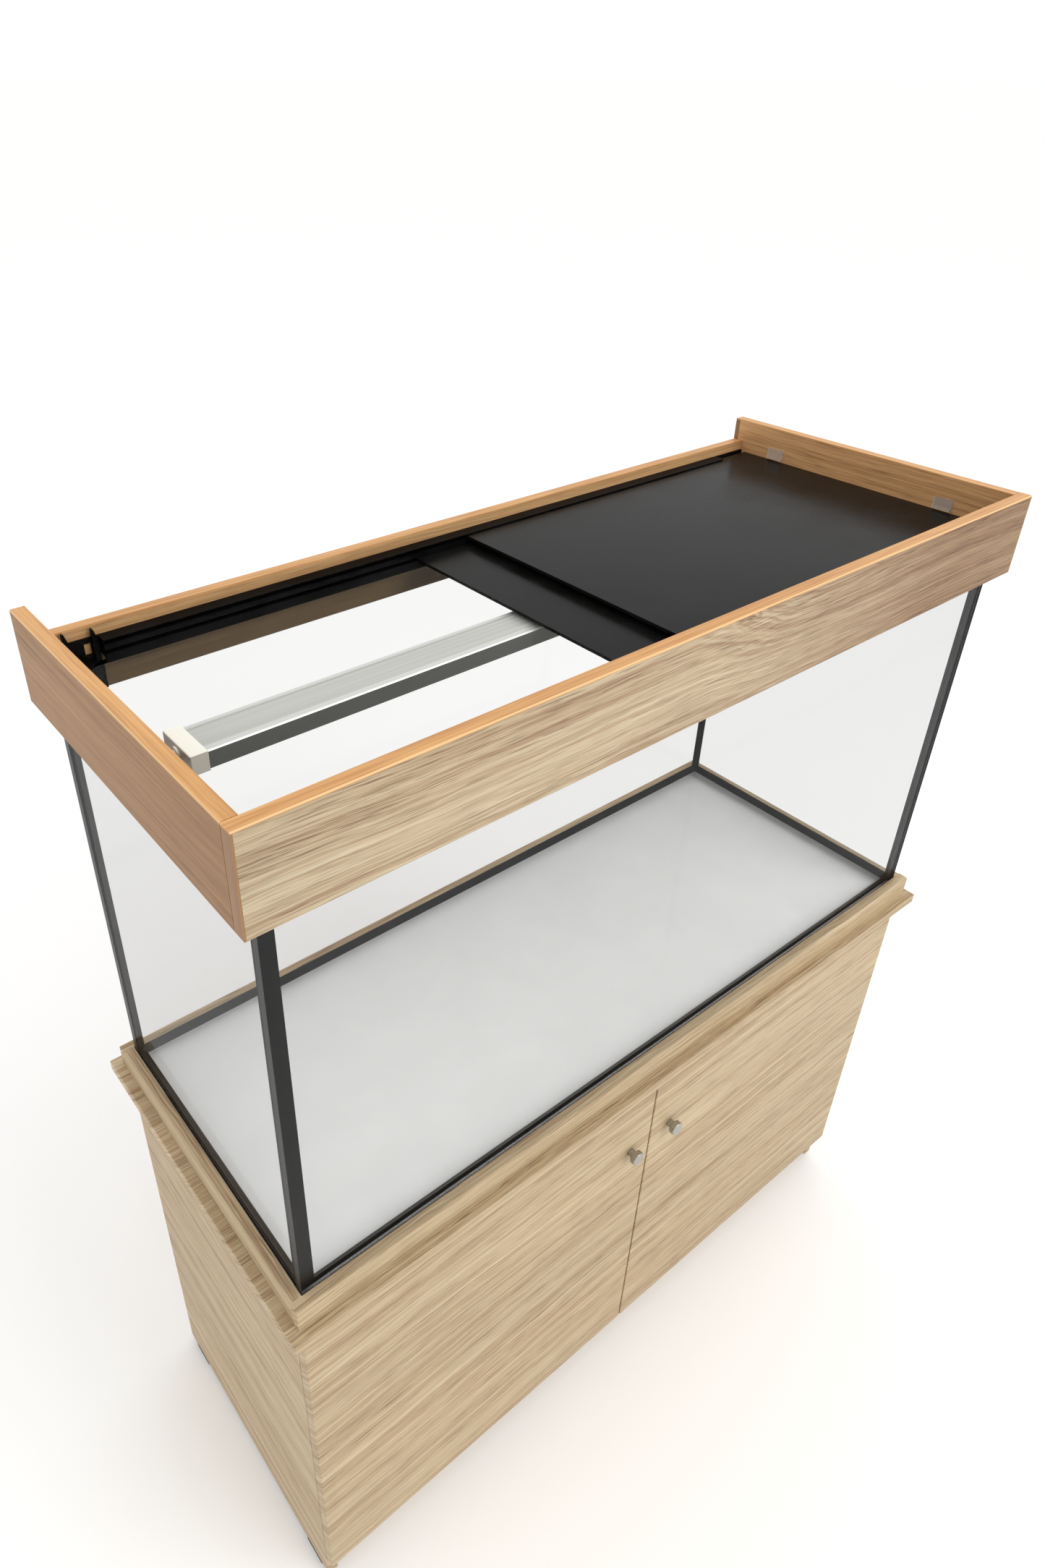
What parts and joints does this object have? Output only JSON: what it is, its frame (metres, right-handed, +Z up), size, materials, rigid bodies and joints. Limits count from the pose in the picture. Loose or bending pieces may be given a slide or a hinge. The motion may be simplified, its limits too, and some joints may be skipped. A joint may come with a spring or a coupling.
{
  "type": "aquarium on stand",
  "caption": "Glass aquarium under an open wooden hood with sliding black lids and a light bar, on a wooden cabinet stand with hinged doors.",
  "frame": {"origin": "on the floor under the middle of the stand", "axes": "+Z up, front towards -Y, +X to the right seen from the front"},
  "size_m": [1.22, 0.5, 1.418],
  "materials": {
    "oak_board": "satin, fine figure along the board",
    "oak_band": "satin edge band",
    "oak_stand": "satin",
    "back_board": "matt",
    "glass": "polished",
    "sealant": "satin",
    "gasket": "matt",
    "foam": "matt",
    "lid_black": "glossy",
    "bracket_black": "satin",
    "clip_clear": "polished",
    "light_shell": "satin anodised",
    "light_cap": "satin",
    "diffuser": "matt",
    "led_board": "matt",
    "led": "glossy",
    "steel": "zinc plated",
    "knob": "brushed"
  },
  "bodies": {
    "base": {"stand_top": "oak_stand", "stand_side_left": "oak_stand", "stand_side_right": "oak_stand", "stand_divider": "oak_stand", "stand_bottom": "oak_stand", "plinth_front": "oak_stand", "plinth_rear": "oak_stand", "stand_back": "back_board", "hose_rings": "bracket_black", "shelf_left": "oak_stand", "shelf_right": "oak_stand", "shelf_pins": "steel", "cam_discs": "steel", "glides": "bracket_black", "hinge_arms": "steel", "base_board": "back_board", "base_mat": "foam", "base_frame_front": "oak_stand", "base_frame_rear": "oak_stand", "base_frame_left": "oak_stand", "base_frame_right": "oak_stand", "base_gasket": "gasket", "glass_bottom": "glass", "glass_front": "glass", "glass_rear": "glass", "glass_left": "glass", "glass_right": "glass", "tank_seams": "sealant", "light_holder_left": "bracket_black", "light_holder_right": "bracket_black"},
    "door_left": {"door_left": "oak_stand", "hinge_cups_left": "steel", "knob_left": "knob"},
    "door_right": {"door_right": "oak_stand", "hinge_cups_right": "steel", "knob_right": "knob"},
    "hood": {"hood_front": "oak_board", "hood_back": "oak_board", "hood_left": "oak_board", "hood_right": "oak_board", "hood_bands_long": "oak_band", "hood_bands_short": "oak_band", "hood_bands_upright": "oak_band", "corner_bracket_front_left": "bracket_black", "corner_bracket_front_right": "bracket_black", "corner_bracket_rear_left": "bracket_black", "corner_bracket_rear_right": "bracket_black", "bracket_screws": "steel", "lid_track_front": "bracket_black", "lid_track_rear": "bracket_black", "lid_clips": "clip_clear"},
    "lid_upper": {"lid_upper": "lid_black"},
    "lid_lower": {"lid_lower": "lid_black"},
    "light": {"light_housing": "light_shell", "led_strip": "led_board", "leds": "led", "light_diffuser": "diffuser", "light_cap_left": "light_cap", "light_cap_right": "light_cap"}
  },
  "joints": [
    {"name": "hood_lift", "type": "slide", "parent": "base", "child": "hood", "axis": [0, 0, 1], "range_m": [0, 0.15]},
    {"name": "lid_upper_slide", "type": "slide", "parent": "hood", "child": "lid_upper", "axis": [1, 0, 0], "range_m": [-0.5725, 0]},
    {"name": "lid_lower_slide", "type": "slide", "parent": "hood", "child": "lid_lower", "axis": [1, 0, 0], "range_m": [-0.4885, 0.084]},
    {"name": "light_tilt", "type": "hinge", "parent": "base", "child": "light", "pos_m": [0, 0, 1.338], "axis": [1, 0, 0], "range_deg": [-7.5, 7.5]},
    {"name": "door_left_hinge", "type": "hinge", "parent": "base", "child": "door_left", "pos_m": [-0.591, -0.231, 0.3865], "axis": [0, 0, -1], "range_deg": [0, 95]},
    {"name": "door_right_hinge", "type": "hinge", "parent": "base", "child": "door_right", "pos_m": [0.591, -0.231, 0.3865], "axis": [0, 0, 1], "range_deg": [0, 95]}
  ]
}
